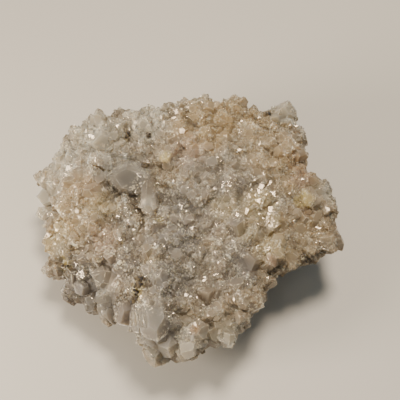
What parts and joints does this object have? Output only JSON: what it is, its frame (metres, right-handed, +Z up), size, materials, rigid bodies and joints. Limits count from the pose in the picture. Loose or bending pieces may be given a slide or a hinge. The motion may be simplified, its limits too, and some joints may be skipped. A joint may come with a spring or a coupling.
{
  "type": "clear quartz cluster",
  "caption": "Loose hand-sized plate of intergrown quartz crystals, milky and iron-stained over the middle, clear at the rim, resting on its flat broken base.",
  "frame": {"origin": "middle of the outline seen from above, at the height of the flat base", "axes": "+Z up from the base, +X along the longest extent, +Y to the back, where the plate is highest"},
  "size_m": [0.1014, 0.0874, 0.0392],
  "materials": {
    "quartz": "glossy crystal faces over milky, iron-stained quartz"
  },
  "bodies": {
    "root": {"quartz_cluster": "quartz"}
  },
  "joints": []
}
